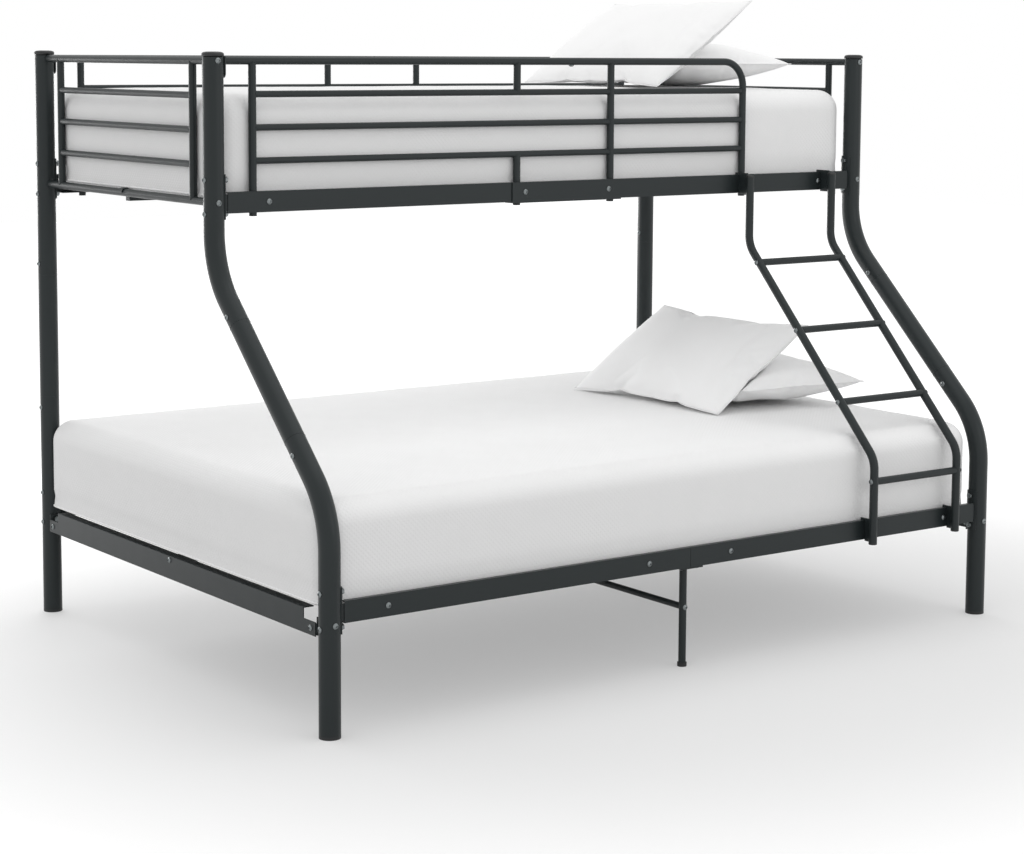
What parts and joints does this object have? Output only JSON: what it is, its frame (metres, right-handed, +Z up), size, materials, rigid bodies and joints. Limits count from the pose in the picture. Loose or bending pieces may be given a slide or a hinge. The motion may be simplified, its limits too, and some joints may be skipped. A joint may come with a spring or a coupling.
{
  "type": "bunk bed",
  "caption": "Metal bunk bed with a narrow upper bunk over a wide lower one, front posts that slope back, guards, a hook-on ladder, mattresses and pillows.",
  "frame": {"origin": "centre of the bounding box on the floor", "axes": "+X towards the head end, +Y towards the back, +Z up"},
  "size_m": [2.1082, 1.5221, 1.7352],
  "materials": {
    "steel_paint": "semi-gloss powder coat",
    "zinc": "zinc-plated",
    "plastic": "moulded",
    "mattress": "quilted knit cover",
    "pillow": "plain woven cotton"
  },
  "bodies": {
    "frame": {"back_foot_post_lower": "steel_paint", "back_foot_post_middle": "steel_paint", "back_foot_post_upper": "steel_paint", "back_guard_foot_half": "steel_paint", "back_guard_head_half": "steel_paint", "back_head_post_lower": "steel_paint", "back_head_post_middle": "steel_paint", "back_head_post_upper": "steel_paint", "bracket_bolts": "zinc", "foot_caps": "plastic", "frame_bolts": "zinc", "front_foot_post_lower": "steel_paint", "front_foot_post_middle": "steel_paint", "front_foot_post_upper": "steel_paint", "front_guard_foot_half": "steel_paint", "front_guard_head_half": "steel_paint", "front_head_post_lower": "steel_paint", "front_head_post_middle": "steel_paint", "front_head_post_upper": "steel_paint", "guard_spigots": "steel_paint", "lower_back_rail_foot_half": "steel_paint", "lower_back_rail_head_half": "steel_paint", "lower_centre_beam": "steel_paint", "lower_end_tabs": "steel_paint", "lower_foot_end_rail": "steel_paint", "lower_front_rail_foot_half": "steel_paint", "lower_front_rail_head_half": "steel_paint", "lower_head_end_rail": "steel_paint", "lower_rail_brackets": "steel_paint", "lower_rail_splices": "steel_paint", "lower_slats": "steel_paint", "nuts": "zinc", "post_bolts": "zinc", "post_sleeves": "steel_paint", "post_top_caps": "plastic", "rail_bolts": "zinc", "trestle_legs": "steel_paint", "trestle_tie": "steel_paint", "upper_back_rail_foot_half": "steel_paint", "upper_back_rail_head_half": "steel_paint", "upper_centre_beam": "steel_paint", "upper_foot_end_frame": "steel_paint", "upper_front_rail_foot_half": "steel_paint", "upper_front_rail_head_half": "steel_paint", "upper_head_end_frame": "steel_paint", "upper_rail_brackets": "steel_paint", "upper_rail_splices": "steel_paint", "upper_slats": "steel_paint"},
    "ladder": {"ladder_left_stile": "steel_paint", "ladder_right_stile": "steel_paint", "ladder_rungs": "steel_paint", "ladder_hooks": "steel_paint", "ladder_end_caps": "plastic", "rung_bolts": "zinc"},
    "lower_mattress": {"lower_mattress": "mattress"},
    "upper_mattress": {"upper_mattress": "mattress"},
    "lower_flat_pillow": {"lower_flat_pillow": "pillow"},
    "upper_flat_pillow": {"upper_flat_pillow": "pillow"},
    "lower_leaning_pillow": {"lower_leaning_pillow": "pillow"},
    "upper_leaning_pillow": {"upper_leaning_pillow": "pillow"}
  },
  "joints": [
    {"name": "ladder_lift", "type": "slide", "parent": "frame", "child": "ladder", "axis": [0, 0, 1], "range_m": [0, 0.05]},
    {"name": "lower_mattress_lift", "type": "slide", "parent": "frame", "child": "lower_mattress", "axis": [0, 0, 1], "range_m": [0, 0.015]},
    {"name": "upper_mattress_lift", "type": "slide", "parent": "frame", "child": "upper_mattress", "axis": [0, 0, 1], "range_m": [0, 0.35]},
    {"name": "lower_flat_pillow_lift", "type": "slide", "parent": "lower_mattress", "child": "lower_flat_pillow", "axis": [0, 0, 1], "range_m": [0, 0.1]},
    {"name": "lower_leaning_pillow_lift", "type": "slide", "parent": "lower_flat_pillow", "child": "lower_leaning_pillow", "axis": [0, 0, 1], "range_m": [0, 0.15]},
    {"name": "upper_flat_pillow_lift", "type": "slide", "parent": "upper_mattress", "child": "upper_flat_pillow", "axis": [0, 0, 1], "range_m": [0, 0.15]},
    {"name": "upper_leaning_pillow_lift", "type": "slide", "parent": "upper_flat_pillow", "child": "upper_leaning_pillow", "axis": [0, 0, 1], "range_m": [0, 0.2]}
  ]
}
